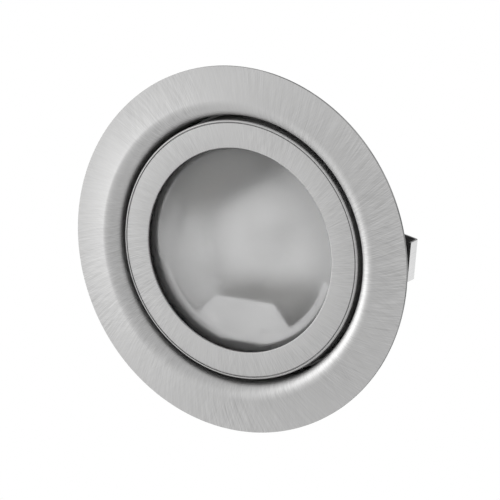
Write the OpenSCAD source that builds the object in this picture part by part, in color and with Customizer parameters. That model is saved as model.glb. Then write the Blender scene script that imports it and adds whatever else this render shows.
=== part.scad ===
// Round recessed soffit downlight with a pull-out front ring and two spring clips.
// Millimetres. +Z points up into the ceiling, the light shines down, and z = 0 is the soffit's face.

/* [Trim] */
// Outside diameter of the flange
flange_d = 72; // [68:0.5:84]
// Thickness of the trim's sheet
trim_t = 0.5; // [0.4:0.05:0.7]
// Width of the flat land on which the flange's rim sits against the soffit
rim_land = 0.8; // [0.5:0.1:1.2]
// Slope of the flange between its rim and the rolled edge, in degrees
flange_slope = 11.5; // [6:0.5:15]
// Inside diameter of the neck
neck_bore = 52.6; // [52.2:0.2:55]
// Outer radius of the rolled edge between flange and neck
roll_r = 2.8; // [2:0.1:3.2]
// Height of the neck's rear end above the soffit's face
neck_depth = 9; // [8.6:0.2:10]
// Radius of the corner between the neck and its ledge
neck_corner = 1; // [0.8:0.1:1.2]
// Play between the neck and the hole cut in the soffit
cutout_play = 0.7; // [0.5:0.1:1.2]

/* [Can] */
// Outside diameter of the can
can_d = 45.2; // [44.8:0.2:46.4]
// Thickness of the can's sheet
can_t = 0.4; // [0.3:0.05:0.5]
// Height of the can's rear face above the soffit's face
body_depth = 21.6; // [21:0.2:27]
// Outer radius of the can's rear shoulder
shoulder_r = 3.5; // [3:0.1:3.8]
// Distance from the neck's outside to the edge of the can's flange
can_flange_inset = 0.4; // [0.2:0.1:0.8]
// Radial clearance between the can and the hole in the neck's ledge
can_clear = 0.2; // [0.1:0.05:0.3]
// Rivets that hold the can to the trim
can_rivet_count = 4; // [3:1:8]
// Diameter of the embossed ring on the can's rear face
emboss_d = 17; // [15:0.5:19]

/* [Front ring] */
// Diameter of the window in the front ring
window_d = 40.2; // [37:0.2:41.4]
// Thickness of the front ring's sheet
ring_t = 0.5; // [0.4:0.05:0.6]
// Radial gap between the front ring's skirt and the neck
ring_gap = 0.8; // [0.7:0.05:1]
// Outer radius of the front ring's edge
ring_edge_r = 0.7; // [0.6:0.05:1]
// Gap between the skirt's end and the rivet heads it stops against
ring_stop_gap = 0.3; // [0.2:0.1:0.6]
// Thickness of the glass
glass_t = 2.2; // [2:0.1:3]
// Thickness of the gasket's lips
gasket_lip = 0.4; // [0.3:0.05:0.5]
// How far the gasket's rear lip stands inwards past the window's edge
gasket_show = 0.7; // [0.4:0.1:1]
// Thickness of the gasket's wall round the glass
gasket_wall = 1.3; // [1:0.1:1.6]
// Thickness of the retaining ring and of the catch springs
spring_t = 0.35; // [0.25:0.05:0.4]
// Clearance between pieces that are pushed together
push_gap = 0.06; // [0.04:0.01:0.1]
// Width of a catch spring, in degrees of the skirt
catch_angle = 15; // [10:1:24]
// Gap between a catch spring's bow and the neck
catch_gap = 0.12; // [0.08:0.01:0.2]

/* [Reflector] */
// Thickness of the reflector's sheet
reflector_t = 0.4; // [0.3:0.05:0.5]
// Gap between the reflector's rim and the retaining ring
reflector_gap = 0.3; // [0.25:0.05:0.5]
// Width of the flat rim round the reflector's mouth
mouth_rim = 0.6; // [0.4:0.1:0.8]
// Outer radius of the round between the reflector's wall and its floor
bowl_r = 16; // [12:0.5:16]

/* [Lampholder] */
// Angle by which the lampholder and its lamp are turned against the clips, in degrees
holder_turn = -4; // [-6:0.5:0]
// Height of the lamp's axis above the soffit's face
lamp_z = 12.4; // [12:0.1:12.8]
// Thickness of the bracket's sheet
bracket_t = 0.45; // [0.4:0.05:0.6]
// Gap between the glass and the bracket's front plate
plate_gap = 0.2; // [0.2:0.05:0.5]
// Distance from the middle of the light to the front plate's straight edge
plate_in = 10.2; // [9.6:0.1:10.6]
// Length of the front plate's straight edge
plate_edge = 12.8; // [12:0.2:13.6]
// Half of the angle between the front plate's sides, in degrees
plate_half = 40; // [36:0.5:43]
// Width of the front plate's two wings
wing_w = 1.5; // [1:0.1:2]
// Half of the angle that the wings span, in degrees
wing_half = 76; // [60:1:84]
// Width of the bracket's leg
leg_w = 9; // [8:0.2:9.6]
// Distance from the middle of the light to the bracket's leg
leg_in = 19; // [18.6:0.1:19.2]
// Width of the ceramic lampholder
holder_w = 16.4; // [15.6:0.2:16.6]
// Distance from the middle of the light to the lampholder's face
holder_in = 10.9; // [10.4:0.1:11.2]
// Distance from the lamp's axis to the lampholder's front side
holder_front = 4.4; // [4.2:0.1:4.8]
// Outside diameter of a contact sleeve
sleeve_d = 2.4; // [2.2:0.05:2.6]
// Running gap round a lamp pin in its sleeve
pin_run = 0.05; // [0.03:0.01:0.08]

/* [Lamp] */
// Outside diameter of the lamp's quartz bulb
bulb_d = 9.2; // [8:0.2:9.6]
// Wall of the bulb
bulb_wall = 0.9; // [0.7:0.05:1.1]
// Length of the bulb from its pinched foot to its tip
bulb_l = 15; // [14:0.5:15]
// Width of the lamp's pinched foot
pinch_w = 8.2; // [7.6:0.1:8.8]
// Thickness of the lamp's pinched foot
pinch_t = 3; // [2.6:0.1:3.4]
// Length of the lamp's pinched foot
pinch_l = 6; // [5:0.1:6.4]
// Distance between the lamp's pins
pin_gap = 4; // [3.8:0.1:4.2]
// Diameter of a lamp pin
pin_d = 0.7; // [0.65:0.01:0.75]
// Length of a lamp pin outside its foot
pin_l = 6.4; // [5.8:0.1:6.6]

/* [Spring clips] */
// Width of the clip's strip
clip_w = 8; // [6:0.2:9]
// Thickness of the clip's strip
clip_t = 0.45; // [0.35:0.05:0.5]
// How far the clip's lip stands out past the soffit's hole
clip_bite = 0.9; // [0.6:0.1:1.4]
// Slope of the clip's arm, forward from the can's rear face, in degrees
clip_slope = 20.5; // [17:0.5:23]
// Length of the clip's lip
clip_lip = 3.1; // [2.4:0.1:3.6]
// Distance from the shoulder's start to the line on which the clip bends
clip_over = 2.1; // [1.9:0.1:2.4]
// Gap between the two halves of the clip at the bend
clip_bend_gap = 0.06; // [0.04:0.01:0.1]
// Distance from the middle of the light to the clip's foot
clip_foot = 9.6; // [9.2:0.2:11]
// Distance from the middle of the light to the clip's rivets
clip_rivet_in = 15.4; // [14.6:0.2:15.8]
// Distance between a clip's two rivets
clip_rivet_gap = 4; // [3.6:0.1:4.4]

/* [Rivets and lead entry] */
// Shank diameter of the small rivets
rivet_d = 1.7; // [1.5:0.1:1.8]
// Head diameter of the small rivets
rivet_head_d = 2.8; // [2.6:0.1:3]
// Height of a rivet's head
rivet_head_h = 0.5; // [0.4:0.05:0.55]
// Clearance between a rivet's shank and its hole
rivet_clear = 0.05; // [0.03:0.01:0.1]
// Bore of the grommet, for the supply lead
lead_bore = 4; // [3.6:0.1:4.2]
// Thickness of the grommet's rubber round its bore
grommet_wall = 1; // [0.9:0.1:1.1]
// Direction of the lead entry round the can, in degrees
lead_dir = 135; // [125:1:145]

/* [Hidden] */
round_fn = 160;
small_fn = 48;
tiny = 0.01;
// How far a cut runs past what it cuts
over = 1;

// Trim
flange_r = flange_d / 2;
land_r = flange_r - rim_land;
neck_r = neck_bore / 2;
neck_or = neck_r + trim_t;
roll_x = neck_r + roll_r;
roll_z = roll_r * cos(flange_slope) - trim_t
    - tan(flange_slope) * (land_r - roll_x - roll_r * sin(flange_slope));
cutout_r = neck_or + cutout_play;

// Can
can_r = can_d / 2;
can_in = can_r - can_t;
ledge_r = can_r + can_clear;
can_flange_r = neck_or - can_flange_inset;
flange_top = neck_depth + can_t;
rear_in = body_depth - can_t;
flat_r = can_r - shoulder_r;
can_rivet_r = (can_r + can_flange_r) / 2;
can_rivet_turn = 45;

// Front ring and what it holds, from the front to the rear
ring_r = neck_r - ring_gap;
ring_front = -trim_t;
ring_back = ring_front + ring_t;
skirt_in = ring_r - ring_t;
skirt_end = neck_depth - trim_t - rivet_head_h - ring_stop_gap;
window_r = window_d / 2;
lip_r = window_r + 0.1;
rear_lip_r = window_r - gasket_show;
glass_z = ring_back + gasket_lip;
glass_back = glass_z + glass_t;
gasket_r = skirt_in - push_gap;
glass_r = gasket_r - gasket_wall - push_gap;
gasket_back = glass_back + gasket_lip;
gasket_corner = ring_edge_r - ring_t + 0.1;
retainer_or = skirt_in - push_gap;
retainer_in = lip_r + 0.9;
catch_bow = neck_r - catch_gap - ring_r;
catch_ends = 0.4;
catch_z = [ring_front + ring_edge_r + 4 * catch_ends, skirt_end - catch_ends];
catch_turn = 30;
// The catch springs stand evenly round the skirt
catch_count = 3;

// Bracket and lampholder; the lampholder stands towards +Y
plate_z = glass_back + plate_gap;
plate_out = rear_lip_r - 0.3;
leg_out = leg_in + bracket_t;
foot_z = rear_in - bracket_t;
bend_in = 0.5;
bend_r = bend_in + bracket_t;
foot_w = holder_w - 0.4;
foot_back = sqrt(pow(flat_r - 0.4, 2) - pow(foot_w / 2, 2));
wire_window = [7, 4];
holder_back = leg_in - bend_in - 0.05;
holder_bottom = lamp_z - holder_front;
holder_rivet = [6, (holder_in + leg_in) / 2 - 0.6];
holder_rivet_d = 2.2;
sleeve_start = holder_in + 1;
sleeve_end = holder_back - 0.3;
screw_y = sleeve_end - 1.4;
screw_d = 1.8;
screw_play = 0.3;
foot_play = 0.4;
screw_slot = 0.4;
screw_slot_deep = 0.4;
screw_sunk = 0.6;
screw_tip = lamp_z - pin_d / 2 - 0.15;
wire_d = 1.3;
wire_deep = 2.3;

// Reflector, from its rim behind the front plate to its floor
rim_z = plate_z + bracket_t + 0.05;
rim_bend = 0.8;
mouth_r = retainer_in - reflector_gap - mouth_rim - rim_bend;
bowl_x = mouth_r + reflector_t - bowl_r;
bowl_z = rear_in - bowl_r;
holder_gap = 0.5;
leg_gap = 0.3;

// Lamp, lying along Y with its tip towards -Y
foot_y = sleeve_start - 0.1;
bulb_foot = foot_y - pinch_l;
pin_start = foot_y - pinch_l * 0.6;
bulb_r = bulb_d / 2;
filament_y = bulb_foot - bulb_l * 0.45;
filament_l = 3.6;
filament_d = 1;
support_d = 0.3;

// Spring clips; the right clip lies towards +X
clip_x = flat_r + clip_over;
clip_z = body_depth + clip_t / 2;
lip_x = cutout_r + clip_bite - clip_t / 2;
arm_end = [lip_x, clip_z - (lip_x - clip_x) * tan(clip_slope)];
lip_bend = 0.5;

// Lead entry
grommet_r = lead_bore / 2 + grommet_wall;
grommet_lip = 1;
grommet_lip_r = grommet_r + 0.9;
grommet_inner_t = 0.5;
grommet_z = flange_top + grommet_lip_r + 0.3;

// ---- Shapes used more than once ----

// Points of an arc of radius r round a centre, from angle a to angle b
function arc_points(centre, r, a, b, steps = 8) =
    [for (i = [0 : steps]) centre + r * [cos(a + (b - a) * i / steps), sin(a + (b - a) * i / steps)]];

// Revolves a profile that is drawn with x as radius and y as height
module spin() {
    rotate_extrude($fn = round_fn) children();
}

// Part of a flat band that bends round a centre: outer radius r, thickness t, from angle a to b
module arc_band(centre, r, t, a, b) {
    reach = 3 * r;
    translate(centre) intersection() {
        difference() {
            circle(r, $fn = round_fn);
            circle(r - t, $fn = round_fn);
        }
        polygon([[0, 0], reach * [cos(a), sin(a)],
                 1.5 * reach * [cos((a + b) / 2), sin((a + b) / 2)],
                 reach * [cos(b), sin(b)]]);
    }
}

// Upright cylinder from height a to height b
module post(at, d, a, b) {
    translate([at[0], at[1], a]) cylinder(d = d, h = b - a, $fn = small_fn);
}

// Cylinder along Y from a to b, at width x and height z
module rod_y(x, z, d, a, b) {
    translate([x, b, z]) rotate([90, 0, 0]) cylinder(d = d, h = b - a, $fn = small_fn);
}

// Rivet head with a domed top, standing up from z = 0
module rivet_head(d, h) {
    dome = (d * d / 4 + h * h) / (2 * h);
    rotate_extrude($fn = small_fn) intersection() {
        translate([0, h - dome]) circle(dome, $fn = round_fn);
        square([d / 2, h]);
    }
}

// Rivet through sheets between heights a and b, with a head on both sides
module rivet(at, d, head_d, head_h, a, b) {
    post(at, d, a - tiny, b + tiny);
    translate([at[0], at[1], b]) rivet_head(head_d, head_h);
    translate([at[0], at[1], a]) mirror([0, 0, 1]) rivet_head(head_d, head_h);
}

// Copies a child to each place round the axis
module around(count, turn) {
    for (i = [0 : count - 1]) rotate([0, 0, turn + i * 360 / count]) children();
}

// Copies a child to both sides of the Y axis
module both_sides(x) {
    for (side = [-1, 1]) translate([side * x, 0, 0]) children();
}

// Mirrors a child from the right side to the left
module left() {
    rotate([0, 0, 180]) children();
}

// ---- Trim and can ----

module trim_profile() {
    roll_out = roll_r;
    roll_in = roll_r - trim_t;
    slope = [sin(flange_slope), -cos(flange_slope)];
    centre = [roll_x, roll_z];
    translate([land_r, -trim_t]) square([rim_land, trim_t]);
    polygon([centre + roll_out * slope, [land_r, -trim_t], [land_r, 0], centre + roll_in * slope]);
    arc_band(centre, roll_out, trim_t, 180, 270 + flange_slope);
    translate([neck_r, roll_z]) square([trim_t, neck_depth - neck_corner - roll_z]);
    arc_band([neck_or - neck_corner, neck_depth - neck_corner], neck_corner, trim_t, 0, 90);
    translate([ledge_r, neck_depth - trim_t])
        square([neck_or - neck_corner - ledge_r, trim_t]);
}

module trim_flange() color([0.72, 0.72, 0.71]) {
    difference() {
        spin() trim_profile();
        around(can_rivet_count, can_rivet_turn)
            post([can_rivet_r, 0], rivet_d + 2 * rivet_clear, neck_depth - 2 * trim_t, flange_top);
    }
}

module can_profile() {
    wall_x = can_r - can_t;
    translate([wall_x, neck_depth]) square([can_flange_r - wall_x, can_t]);
    translate([wall_x, neck_depth]) square([can_t, body_depth - shoulder_r - neck_depth]);
    arc_band([flat_r, body_depth - shoulder_r], shoulder_r, can_t, 0, 90);
    translate([0, rear_in]) square([flat_r, can_t]);
    translate([emboss_d / 2, body_depth - tiny]) intersection() {
        translate([0, -0.6]) circle(0.9, $fn = round_fn);
        translate([-1, 0]) square([2, 1]);
    }
}

module rear_can() color([0.12, 0.12, 0.12]) {
    difference() {
        spin() can_profile();
        around(can_rivet_count, can_rivet_turn)
            post([can_rivet_r, 0], rivet_d + 2 * rivet_clear, neck_depth - over, flange_top + over);
        clip_rivet_places()
            post([0, 0], rivet_d + 2 * rivet_clear, rear_in - over, body_depth + over);
        holder_place() holder_rivet_places()
            post([0, 0], holder_rivet_d + 2 * rivet_clear, rear_in - over, body_depth + over);
        post([0, 0], rivet_d + 2 * rivet_clear, rear_in - over, body_depth + over);
        lead_place() translate([0, 0, can_in - 2 * over])
            cylinder(r = grommet_r + push_gap, h = can_t + 3 * over, $fn = small_fn);
    }
}

module can_rivets() color([0.8, 0.8, 0.8]) {
    around(can_rivet_count, can_rivet_turn)
        rivet([can_rivet_r, 0], rivet_d, rivet_head_d, rivet_head_h,
              neck_depth - trim_t, flange_top);
}

// ---- Reflector ----

module reflector_profile() {
    wall_start = rim_z + rim_bend;
    translate([mouth_r + rim_bend, rim_z]) square([mouth_rim, reflector_t]);
    arc_band([mouth_r + rim_bend, wall_start], rim_bend, reflector_t, 180, 270);
    translate([mouth_r, wall_start]) square([reflector_t, bowl_z - wall_start]);
    arc_band([bowl_x, bowl_z], bowl_r, reflector_t, 0, 90);
    translate([0, rear_in - reflector_t]) square([bowl_x, reflector_t]);
}

module reflector() color([0.9, 0.9, 0.9]) {
    cut_w = holder_w + 2 * holder_gap;
    notch_w = leg_w + 2 * leg_gap;
    difference() {
        spin() reflector_profile();
        post([0, 0], rivet_d + 2 * rivet_clear, bowl_z, body_depth);
        holder_place() {
            // Opening for the lampholder
            translate([-cut_w / 2, holder_in - holder_gap, holder_bottom - holder_gap])
                cube([cut_w, can_r, body_depth]);
            // Notch in the rim for the bracket's leg
            translate([-notch_w / 2, leg_in - bend_in - leg_gap, rim_z - over])
                cube([notch_w, can_r, holder_bottom - rim_z + over]);
        }
    }
}

module reflector_rivet() color([0.8, 0.8, 0.8]) {
    rivet([0, 0], rivet_d, rivet_head_d, rivet_head_h, rear_in - reflector_t, body_depth);
}

// ---- Lampholder ----

// Turns a child with the lampholder, which stands towards +Y before the turn
module holder_place() {
    rotate([0, 0, holder_turn]) children();
}

module holder_rivet_places() {
    for (side = [-1, 1]) translate([side * holder_rivet[0], holder_rivet[1], 0]) children();
}

// Strip of the bracket seen from the side, drawn with x as distance from the axis and y as height
module bracket_strip() {
    translate([plate_in + 2, plate_z]) square([leg_out - bend_r - plate_in - 2, bracket_t]);
    arc_band([leg_out - bend_r, plate_z + bend_r], bend_r, bracket_t, 270, 360);
    translate([leg_in, plate_z + bend_r]) square([bracket_t, foot_z + bracket_t - plate_z - 2 * bend_r]);
    arc_band([leg_out - bend_r, rear_in - bend_r], bend_r, bracket_t, 0, 90);
    translate([foot_back - 1, foot_z]) square([leg_out - bend_r - foot_back + 1, bracket_t]);
}

// Middle of the front plate: a straight edge, two slanted sides and a round outside
module plate_middle() {
    side = plate_edge / 2;
    far = 2 * plate_out;
    reach = far * [sin(plate_half), cos(plate_half)];
    intersection() {
        polygon([[side, plate_in], [side, plate_in] + reach,
                 [-side - reach[0], plate_in + reach[1]], [-side, plate_in]]);
        circle(plate_out, $fn = round_fn);
    }
}

module holder_bracket() color([0.75, 0.75, 0.74]) {
    far = 2 * plate_out;
    holder_place() difference() {
        union() {
            // Leg, with its bends to the front plate and to the foot
            rotate([90, 0, 90]) translate([0, 0, -leg_w / 2]) linear_extrude(leg_w) bracket_strip();
            // Front plate with its wings
            translate([0, 0, plate_z]) linear_extrude(bracket_t) intersection() {
                union() {
                    arc_band([0, 0], plate_out, wing_w, 90 - wing_half, 90 + wing_half);
                    plate_middle();
                }
                translate([-far, 0]) square([2 * far, leg_out - bend_r]);
            }
            translate([-foot_w / 2, holder_in + 0.6, foot_z])
                cube([foot_w, foot_back - holder_in - 0.6, bracket_t]);
        }
        holder_rivet_places()
            post([0, 0], holder_rivet_d + 2 * rivet_clear, foot_z - over, rear_in + over);
        translate([-wire_window[0] / 2, leg_in - over, lamp_z - wire_window[1] / 2])
            cube([wire_window[0], bracket_t + 2 * over, wire_window[1]]);
    }
}

module lampholder() color([0.93, 0.92, 0.88]) {
    corner = 1.6;
    holder_place() difference() {
        translate([0, 0, holder_bottom]) linear_extrude(foot_z - holder_bottom) union() {
            translate([-holder_w / 2, holder_in])
                square([holder_w, holder_back - corner - holder_in]);
            translate([-holder_w / 2 + corner, holder_back - corner - tiny])
                square([holder_w - 2 * corner, corner + tiny]);
            both_sides(holder_w / 2 - corner)
                translate([0, holder_back - corner]) circle(corner, $fn = small_fn);
        }
        // Pocket for the lamp's foot
        translate([-pinch_w / 2 - foot_play, holder_in - over, lamp_z - pinch_t / 2 - foot_play])
            cube([pinch_w + 2 * foot_play, sleeve_start - holder_in + over, pinch_t + 2 * foot_play]);
        both_sides(pin_gap / 2) {
            rod_y(0, lamp_z, sleeve_d + 2 * push_gap, sleeve_start - tiny, holder_back + over);
            post([0, screw_y], screw_d + screw_play, holder_bottom - over, lamp_z);
        }
        holder_rivet_places()
            post([0, 0], holder_rivet_d + 2 * rivet_clear, holder_bottom - over, foot_z + over);
    }
}

module contact_sleeve() {
    pin_hole = pin_d + 2 * pin_run;
    difference() {
        rod_y(0, lamp_z, sleeve_d, sleeve_start, sleeve_end);
        rod_y(0, lamp_z, pin_hole, sleeve_start - over, foot_y + pin_l + 0.3);
        rod_y(0, lamp_z, wire_d, sleeve_end - wire_deep, sleeve_end + over);
        post([0, screw_y], screw_d + 2 * push_gap, lamp_z - sleeve_d, lamp_z);
    }
}

module contact_sleeve_left() color([0.8, 0.7, 0.4]) {
    holder_place() translate([-pin_gap / 2, 0, 0]) contact_sleeve();
}

module contact_sleeve_right() color([0.8, 0.7, 0.4]) {
    holder_place() translate([pin_gap / 2, 0, 0]) contact_sleeve();
}

module terminal_screws() color([0.7, 0.7, 0.72]) {
    holder_place() both_sides(pin_gap / 2) difference() {
        post([0, screw_y], screw_d, holder_bottom + screw_sunk, screw_tip);
        translate([-screw_d, screw_y - screw_slot / 2, holder_bottom])
            cube([2 * screw_d, screw_slot, screw_sunk + screw_slot_deep]);
    }
}

module holder_rivets() color([0.8, 0.8, 0.8]) {
    holder_place() holder_rivet_places()
        rivet([0, 0], holder_rivet_d, holder_rivet_d + 1.4, rivet_head_h, holder_bottom, body_depth);
}

// ---- Lead entry ----

// Puts a child that stands along +Z on the can's side, pointing outwards
module lead_place() {
    rotate([0, 0, lead_dir]) translate([0, 0, grommet_z]) rotate([0, 90, 0]) children();
}

module lead_grommet() color([0.12, 0.12, 0.13]) {
    inner_r = grommet_r + 0.5;
    // Where the inner lip's flat face clears the can's curved wall
    inner = sqrt(pow(can_in, 2) - pow(inner_r, 2)) - push_gap;
    outer = can_r + push_gap;
    lead_place() difference() {
        union() {
            translate([0, 0, inner - grommet_inner_t])
                cylinder(r = inner_r, h = grommet_inner_t, $fn = small_fn);
            translate([0, 0, inner - tiny])
                cylinder(r = grommet_r, h = outer - inner + 2 * tiny, $fn = small_fn);
            translate([0, 0, outer]) cylinder(r = grommet_lip_r, h = grommet_lip, $fn = small_fn);
        }
        translate([0, 0, inner - over]) cylinder(d = lead_bore, h = can_r, $fn = small_fn);
    }
}

// ---- Spring clips ----

module clip_rivet_places() {
    for (side = [-1, 1], half = [-0.5, 0.5])
        translate([side * clip_rivet_in, half * clip_rivet_gap, 0]) children();
}

module clip_foot_piece() {
    foot_end = clip_x - clip_t / 2 - clip_bend_gap;
    corner = 1.2;
    difference() {
        translate([0, 0, body_depth]) linear_extrude(clip_t) union() {
            translate([clip_foot + corner, -clip_w / 2])
                square([foot_end - clip_foot - corner, clip_w]);
            translate([clip_foot, -clip_w / 2 + corner]) square([corner + tiny, clip_w - 2 * corner]);
            for (side = [-1, 1])
                translate([clip_foot + corner, side * (clip_w / 2 - corner)])
                    circle(corner, $fn = small_fn);
        }
        clip_rivet_places()
            post([0, 0], rivet_d + 2 * rivet_clear, body_depth - over, body_depth + over);
    }
}

module clip_foot_right() color([0.85, 0.85, 0.86]) clip_foot_piece();

module clip_foot_left() color([0.85, 0.85, 0.86]) left() clip_foot_piece();

module clip_rivets() color([0.8, 0.8, 0.8]) {
    clip_rivet_places()
        rivet([0, 0], rivet_d, rivet_head_d, rivet_head_h, rear_in, body_depth + clip_t);
}

// Arm without its round bend, seen from the side; x is the distance from the axis, y the height
module arm_profile() {
    half = clip_t / 2;
    along = [cos(clip_slope), -sin(clip_slope)];
    across = [sin(clip_slope), cos(clip_slope)];
    hinge = [clip_x, clip_z];
    // The lip's bend is tangent to the arm and to the lip, with its centre below the arm
    radius = lip_bend + half;
    turn = 90 - clip_slope;
    back = radius * tan(turn / 2);
    bend_start = arm_end - back * along;
    bend_centre = bend_start - radius * across;
    lip_end = arm_end[1] - clip_lip;
    start = hinge + 2 * tiny * along;
    polygon(concat(
        [start - half * across, start + half * across],
        arc_points(bend_centre, radius + half, turn, 0),
        [[lip_x + half, lip_end], [lip_x - half, lip_end]],
        arc_points(bend_centre, radius - half, 0, turn)));
}

module clip_arm_piece() {
    rotate([90, 0, 0]) translate([0, 0, -clip_w / 2]) linear_extrude(clip_w) arm_profile();
    // Round outside of the bend, along the line on which the strip flexes
    rod_y(clip_x, clip_z, clip_t, -clip_w / 2, clip_w / 2);
}

module clip_arm_right() color([0.85, 0.85, 0.86]) clip_arm_piece();

module clip_arm_left() color([0.85, 0.85, 0.86]) left() clip_arm_piece();

// ---- Front ring ----

module front_ring() color([0.74, 0.74, 0.73]) {
    spin() {
        translate([window_r, ring_front]) square([ring_r - ring_edge_r - window_r, ring_t]);
        arc_band([ring_r - ring_edge_r, ring_front + ring_edge_r], ring_edge_r, ring_t, 270, 360);
        translate([skirt_in, ring_front + ring_edge_r])
            square([ring_t, skirt_end - ring_front - ring_edge_r]);
    }
}

module glass_lens() color([0.85, 0.87, 0.87, 0.6]) {
    translate([0, 0, glass_z]) cylinder(r = glass_r, h = glass_t, $fn = round_fn);
}

module glass_gasket() color([0.1, 0.1, 0.1]) {
    spin() difference() {
        polygon([[lip_r, ring_back], [gasket_r - gasket_corner, ring_back],
                 [gasket_r, ring_back + gasket_corner], [gasket_r, gasket_back],
                 [rear_lip_r, gasket_back], [rear_lip_r, glass_z], [lip_r, glass_z]]);
        translate([rear_lip_r - over, glass_z])
            square([glass_r + push_gap - rear_lip_r + over, glass_t]);
    }
}

module retaining_ring() color([0.7, 0.7, 0.7]) {
    corner = spring_t + 0.3;
    spin() {
        translate([retainer_in, gasket_back]) square([retainer_or - corner - retainer_in, spring_t]);
        arc_band([retainer_or - corner, gasket_back + corner], corner, spring_t, 270, 360);
        translate([retainer_or - spring_t, gasket_back + corner])
            square([spring_t, skirt_end - 0.5 - gasket_back - corner]);
    }
}

// Bow spring on the skirt's outside, seen in section
module catch_profile() {
    low = catch_z[0];
    high = catch_z[1];
    rise = catch_bow - push_gap;
    half = (high - low) / 2;
    bow_r = (half * half + rise * rise) / (2 * rise);
    translate([ring_r + push_gap, 0]) intersection() {
        translate([rise - bow_r, low + half]) difference() {
            circle(bow_r, $fn = 4 * round_fn);
            circle(bow_r - spring_t, $fn = 4 * round_fn);
        }
        translate([0, low]) square([rise + 1, high - low]);
    }
}

module catch_spring(index) {
    rotate([0, 0, catch_turn + index * 360 / catch_count - catch_angle / 2])
        rotate_extrude(angle = catch_angle, $fn = 4 * round_fn) catch_profile();
}

module catch_spring_1() color([0.78, 0.78, 0.8]) catch_spring(0);

module catch_spring_2() color([0.78, 0.78, 0.8]) catch_spring(1);

module catch_spring_3() color([0.78, 0.78, 0.8]) catch_spring(2);

// ---- Lamp ----

// Puts a profile, drawn with x as radius and y as distance from the foot, along the lamp's axis
module lamp_spin() {
    translate([0, bulb_foot, lamp_z]) rotate([90, 0, 0]) rotate_extrude($fn = small_fn) children();
}

module lamp_bulb() color([0.85, 0.88, 0.9, 0.5]) {
    in_r = bulb_r - bulb_wall;
    holder_place() difference() {
        union() {
            lamp_spin() {
                square([bulb_r, bulb_l - bulb_r]);
                intersection() {
                    translate([0, bulb_l - bulb_r]) circle(bulb_r, $fn = round_fn);
                    square([bulb_r, bulb_l + over]);
                }
            }
            translate([-pinch_w / 2, bulb_foot - 0.6, lamp_z - pinch_t / 2])
                cube([pinch_w, pinch_l + 0.6, pinch_t]);
        }
        lamp_spin() {
            translate([0, bulb_wall]) square([in_r, bulb_l - bulb_r - bulb_wall]);
            intersection() {
                translate([0, bulb_l - bulb_r]) circle(in_r, $fn = round_fn);
                square([in_r, bulb_l]);
            }
        }
        both_sides(pin_gap / 2)
            rod_y(0, lamp_z, pin_d + 2 * push_gap, pin_start - push_gap, foot_y + over);
    }
}

module lamp_pins() color([0.7, 0.68, 0.65]) {
    holder_place() both_sides(pin_gap / 2)
        rod_y(0, lamp_z, pin_d, pin_start, foot_y + pin_l);
}

module lamp_filament() color([0.5, 0.5, 0.52]) {
    post_y = bulb_foot - bulb_wall - 0.1;
    holder_place() {
        translate([-filament_l / 2, filament_y, lamp_z]) rotate([0, 90, 0])
            cylinder(d = filament_d, h = filament_l, $fn = small_fn);
        both_sides(filament_l / 2 - support_d / 2) rod_y(0, lamp_z, support_d, filament_y, post_y);
    }
}

// ---- The whole light ----

trim_flange();
rear_can();
can_rivets();
reflector();
reflector_rivet();
holder_bracket();
lampholder();
contact_sleeve_left();
contact_sleeve_right();
terminal_screws();
holder_rivets();
lead_grommet();
clip_foot_right();
clip_foot_left();
clip_rivets();
clip_arm_right();
clip_arm_left();
front_ring();
glass_lens();
glass_gasket();
retaining_ring();
catch_spring_1();
catch_spring_2();
catch_spring_3();
lamp_bulb();
lamp_pins();
lamp_filament();
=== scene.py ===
import math

import bmesh
import bpy
from mathutils import Matrix, Vector


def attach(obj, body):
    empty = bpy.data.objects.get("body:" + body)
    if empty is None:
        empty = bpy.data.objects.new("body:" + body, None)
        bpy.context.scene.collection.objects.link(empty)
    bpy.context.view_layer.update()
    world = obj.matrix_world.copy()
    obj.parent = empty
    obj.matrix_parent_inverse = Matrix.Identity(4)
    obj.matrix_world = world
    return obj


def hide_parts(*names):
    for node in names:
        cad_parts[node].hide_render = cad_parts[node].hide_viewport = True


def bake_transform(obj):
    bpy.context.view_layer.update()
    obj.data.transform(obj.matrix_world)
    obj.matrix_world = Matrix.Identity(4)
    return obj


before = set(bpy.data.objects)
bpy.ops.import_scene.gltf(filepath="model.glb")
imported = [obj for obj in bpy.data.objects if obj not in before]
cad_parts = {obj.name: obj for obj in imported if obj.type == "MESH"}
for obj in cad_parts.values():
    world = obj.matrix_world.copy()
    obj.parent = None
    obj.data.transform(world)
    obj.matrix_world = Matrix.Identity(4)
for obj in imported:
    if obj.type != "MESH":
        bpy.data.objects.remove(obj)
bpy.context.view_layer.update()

mm = 0.001
roundSteps = 288    # segments round the trim, can and ring
smallSteps = 40     # segments round rivets, pins and holes
bendSteps = 6       # segments in a small bend of the sheet
bowSteps = 26       # segments in a long bow, such as the trim's roll and the reflector's bowl
sheetRound = 0.06   # millimetres, rounding of a thin sheet's cut edges
weld = 0.0005       # millimetres, points nearer than this are one
past = 1            # millimetres by which a cutter reaches past what it cuts
zAxis = Vector((0, 0, 1))

# The light hangs in the soffit: +Z is up into the ceiling, and the camera looks up at it
# from below.

photoView = {
    "azimuth": -32.5,      # degrees from +X to the camera, seen from above
    "elevation": -58.4,    # below the horizon
    "roll": 66.3,
    "distance": 800,
    "lens": 300,
    "sensor": 36,
    "aimRight": 1.92,      # the frame's middle, from the light's middle
    "aimUp": 0.04,
}


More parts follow.
